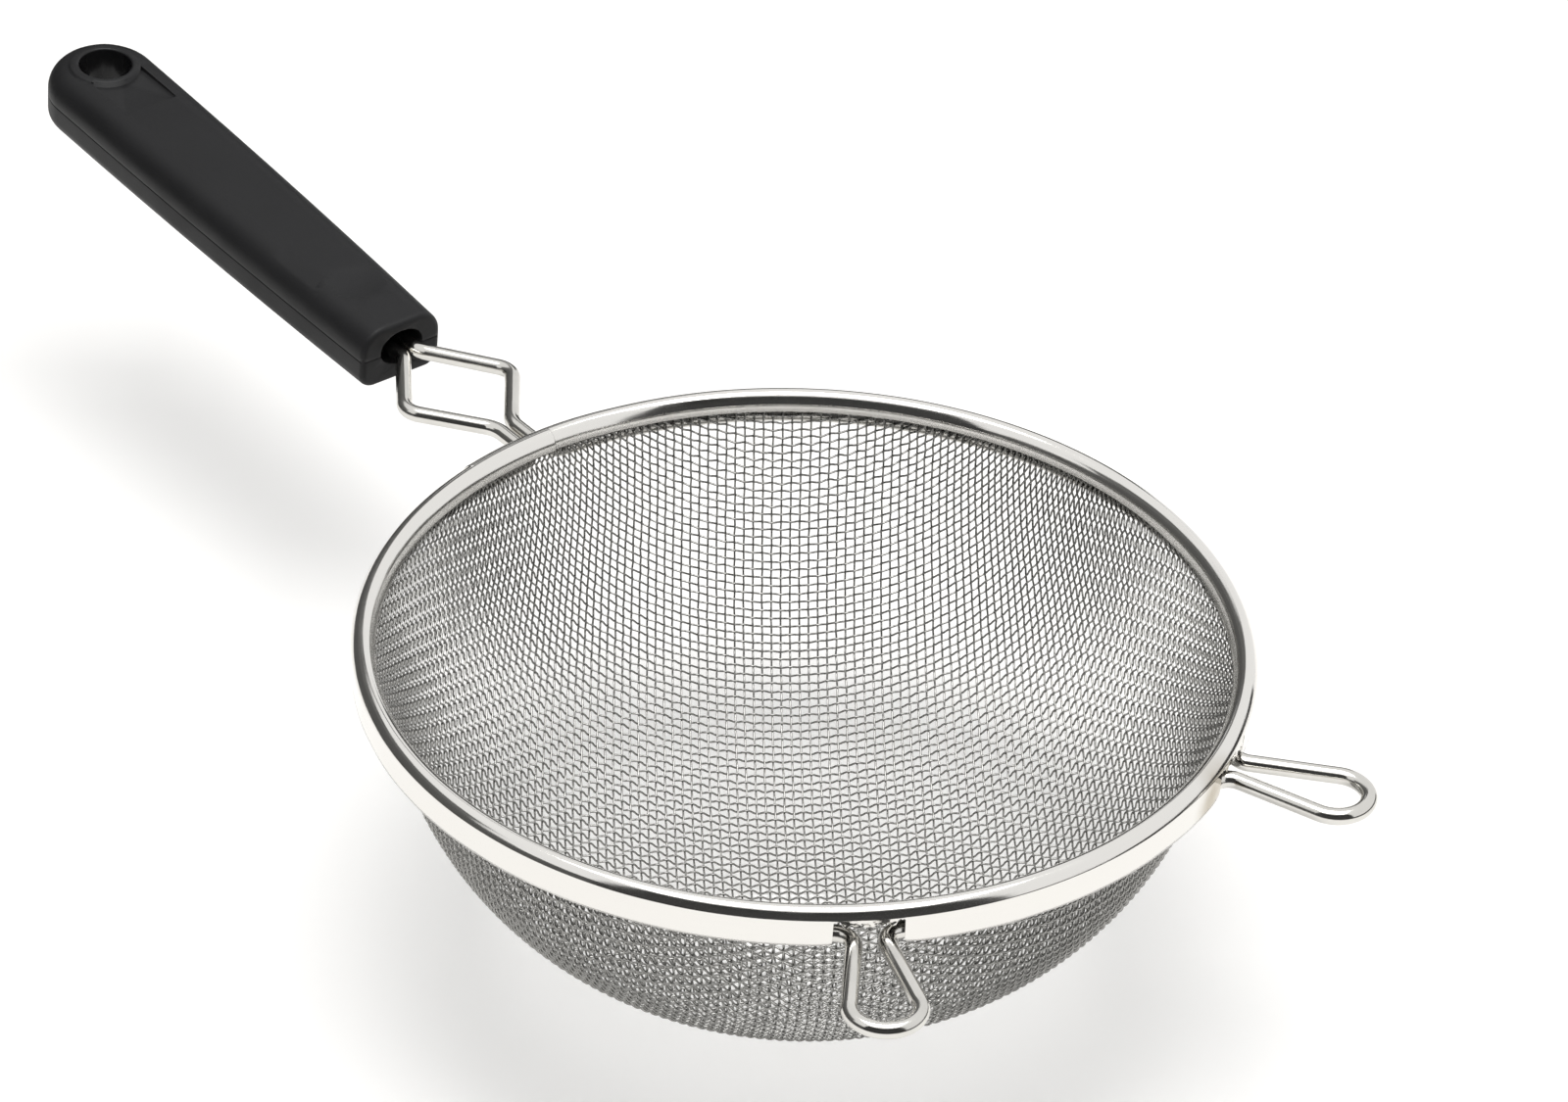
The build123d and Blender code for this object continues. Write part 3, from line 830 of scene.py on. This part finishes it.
class StrainerMakeWeave(bpy.types.Operator):
    """Weaves the bowl: warp and weft wires over and under each other, draped over its form"""

    bl_idname = "strainer.make_weave"
    bl_label = "Make woven bowl"

    def execute(self, context):
        scene = context.scene
        v = scene.strainer_weave
        steel = woven_steel(scene.strainer_colours)
        curve = bowl_curve(v)
        flat = whole_net(v, curve)
        # Each family is shown as this many pieces of about the same size.
        parts = 4
        for family, lift in (("warp", 1), ("weft", -1)):
            crossings = flat if family == "warp" else flat.transpose(1, 0, 2)
            crimp = v.weft_crimp if family == "weft" else 1 - v.weft_crimp
            line, normal, up = strands(v, curve, crossings, lift, crimp)
            keep = up <= edge_run(v, curve)
            share_of = np.cumsum(keep.sum(0)) / keep.sum()
            for part in range(parts):
                inside = (share_of > part / parts) & (share_of <= (part + 1) / parts + 1e-9)
                name = f"weave_{family}_{part + 1}"
                mesh = tube_mesh(name, line[:, inside], normal[:, inside], keep[:, inside], v.wire / 2)
                piece(name, mesh, steel, "woven_steel", "mesh_bowl")
        return {"FINISHED"}


class StrainerMakeHandle(bpy.types.Operator):
    """Finishes the handle: the CAD moulding, merged and smooth, in satin black plastic"""

    bl_idname = "strainer.make_handle"
    bl_label = "Make handle"

    def execute(self, context):
        same_place, sharp_from = 0.002 * MM, math.radians(38)
        work = bmesh.new()
        work.from_mesh(frame["nodes"]["handle"].data)
        bmesh.ops.remove_doubles(work, verts=work.verts, dist=same_place)
        mesh = bpy.data.meshes.new("handle_moulding")
        work.to_mesh(mesh)
        work.free()
        mesh.shade_smooth()
        mesh.set_sharp_from_angle(angle=sharp_from)
        colours = context.scene.strainer_colours
        made = piece("handle_moulding", mesh, moulded_plastic(colours), "handle_plastic", "handle")
        # Large faces keep their own normals, so that the small rounds between them take all the turn.
        weighted = made.modifiers.new("weighted_normals", "WEIGHTED_NORMAL")
        weighted.keep_sharp = True
        return {"FINISHED"}


class StrainerMakeStage(bpy.types.Operator):
    """Sets up the white table, the grey cards round it, the room, the lamp and the camera"""

    bl_idname = "strainer.make_stage"
    bl_label = "Make stage"

    def execute(self, context):
        scene = context.scene
        stage_floor(scene.strainer_colours)
        stage_cards()
        stage_world(scene)
        stage_lamp()
        stage_camera(scene)
        scene.view_settings.view_transform = "Standard"
        return {"FINISHED"}


def stage_camera(scene):
    """The photograph's view: a long lens aimed at one point, rolled a little about its own axis."""
    data = bpy.data.cameras.new("camera")
    data.lens, data.sensor_width = CAMERA_LENS, 36
    data.clip_start, data.clip_end = 0.05, 50
    camera = bpy.data.objects.new("camera", data)
    scene.collection.objects.link(camera)
    aim = Vector(CAMERA_AIM) - Vector(CAMERA_AT)
    camera.rotation_mode = "QUATERNION"
    camera.rotation_quaternion = aim.to_track_quat("-Z", "Y") @ Quaternion((0, 0, 1), CAMERA_ROLL)
    camera.location = CAMERA_AT
    scene.camera = camera


def looked_at(tree):
    """1 for what the camera, reflections and rays through glass see, and 0 for light on surfaces."""
    path = add(tree, "ShaderNodeLightPath").outputs
    settings = {"operation": "MAXIMUM"}
    seen = add(tree, "ShaderNodeMath", settings, {0: path["Is Camera Ray"], 1: path["Is Glossy Ray"]})
    links = {0: seen.outputs[0], 1: path["Is Transmission Ray"]}
    return add(tree, "ShaderNodeMath", settings, links).outputs[0]


def stage_floor(c):
    """A round white board under the bowl. It keeps the object's shadow, and a little added white for
    the camera and for reflections brings it to the backdrop's white."""
    count, rings, board_r = 96, 6, 0.55
    turn = np.linspace(0, 2 * math.pi, count, endpoint=False)
    reach = np.linspace(0, board_r, rings + 1)[1:]
    centre = np.array([-0.02, 0.02])
    ring = np.stack([np.cos(turn), np.sin(turn)], -1)
    flat = centre + reach[:, None, None] * ring[None]
    points = np.concatenate([flat, np.full((rings, count, 1), FLOOR_Z)], -1).reshape(-1, 3)
    points = np.concatenate([points, [[*centre, FLOOR_Z]]])
    quads, _ = grid(np.arange(rings), np.arange(count + 1), wrap=True)
    k = np.arange(count)
    fan = np.stack([(k + 1) % count, k, np.full(count, rings * count)], -1)
    mesh = bpy.data.meshes.new("white_board")
    mesh.from_pydata(points.tolist(), [], quads.tolist() + fan.tolist())
    floor = bpy.data.objects.new("white_board", mesh)
    bpy.context.scene.collection.objects.link(floor)
    settings = {"Base Color": tuple(c.floor), "Roughness": 0.9, "Specular IOR Level": 0.1}
    made, tree, shader = material("white_matt_board", settings)
    shader.inputs["Emission Color"].default_value = (1, 1, 1, 1)
    tree.links.new(remap(tree, looked_at(tree), (0, 1), (0, 0.21)), shader.inputs["Emission Strength"])
    mesh.materials.append(made)


def card(name, low, high, first, last, code):
    """A matt card bent round the axis: its lower and upper edge in metres, its ends in degrees."""
    turn = np.radians(np.linspace(first, last, 64))
    level = np.linspace(low, high, 8)
    t, z = np.meshgrid(turn, level, indexing="ij")
    spot = np.stack([CARD_R * np.cos(t), CARD_R * np.sin(t), z], -1)
    quads, _ = grid(turn, level)
    mesh = bpy.data.meshes.new(name)
    mesh.from_pydata(spot.reshape(-1, 3).tolist(), [], quads.tolist())
    made = bpy.data.objects.new(name, mesh)
    bpy.context.scene.collection.objects.link(made)
    made.visible_camera = False
    settings = {"Base Color": linear(code), "Roughness": 0.9, "Specular IOR Level": 0.0}
    mesh.materials.append(material(name, settings)[0])


def stage_cards():
    """Grey cards that the steel reflects as its darks: a tall one behind the camera, one on its left
    with a paler one above it, a narrow one opposite, and a low one on its right."""
    card("tall_dark_card", -1.5, 2.3, -85, 9, "#545454")
    card("left_dark_card", -1.6, 0.7, -205, -85, "#767675")
    card("left_grey_card", 0.7, 1.3, -217, -120, "#868685")
    card("far_dark_card", -1.6, 0.55, 125, 155, "#5c5c5b")
    card("right_dark_card", -1.6, 0.1, 9, 95, "#5c5c5b")


def stage_world(scene):
    """An even white room, the same to the eye and in reflections, that lights surfaces less."""
    world = bpy.data.worlds.new("white_room")
    scene.world = world
    world.use_nodes = True
    tree = world.node_tree
    shade = tree.nodes["Background"]
    shade.inputs["Color"].default_value = (1, 1, 1, 1)
    tree.links.new(remap(tree, looked_at(tree), (0, 1), (0.55, 1.0)), shade.inputs["Strength"])


def stage_lamp():
    """One soft overhead lamp, as over a product table, so that the shadow stays under the object."""
    data = bpy.data.lights.new("overhead_softbox", "AREA")
    data.shape = "RECTANGLE"
    data.size, data.size_y = 1.2, 1.0
    data.energy = 21
    lamp = bpy.data.objects.new("overhead_softbox", data)
    bpy.context.scene.collection.objects.link(lamp)
    lamp.location = (0.08, -0.06, 1.5)
    lamp.rotation_mode = "QUATERNION"
    lamp.rotation_quaternion = (-Vector(lamp.location)).to_track_quat("-Z", "Y")


class StrainerPanel(bpy.types.Panel):
    """Lists the strainer's operators in the sidebar"""

    bl_idname = "STRAINER_PT_panel"
    bl_label = "Wire bowl strainer"
    bl_space_type = "VIEW_3D"
    bl_region_type = "UI"
    bl_category = "Strainer"

    def draw(self, context):
        for operator in OPERATORS:
            self.layout.operator(operator.bl_idname)


OPERATORS = (
    StrainerMakeBand,
    StrainerMakeWire,
    StrainerMakeWeave,
    StrainerMakeHandle,
    StrainerMakeStage,
)
GROUPS = {
    "strainer_band": StrainerBand,
    "strainer_wire": StrainerWire,
    "strainer_weave": StrainerWeave,
    "strainer_colours": StrainerColours,
}


def register():
    for kind in (*GROUPS.values(), *OPERATORS, StrainerPanel):
        bpy.utils.register_class(kind)
    for name, kind in GROUPS.items():
        setattr(bpy.types.Scene, name, bpy.props.PointerProperty(type=kind))


def unregister():
    for name in GROUPS:
        delattr(bpy.types.Scene, name)
    for kind in (StrainerPanel, *reversed(OPERATORS), *reversed(GROUPS.values())):
        bpy.utils.unregister_class(kind)


def main():
    register()
    bpy.ops.strainer.make_band()
    bpy.ops.strainer.make_wire()
    bpy.ops.strainer.make_weave()
    bpy.ops.strainer.make_handle()
    bpy.ops.strainer.make_stage()


if __name__ == "__main__":
    main()
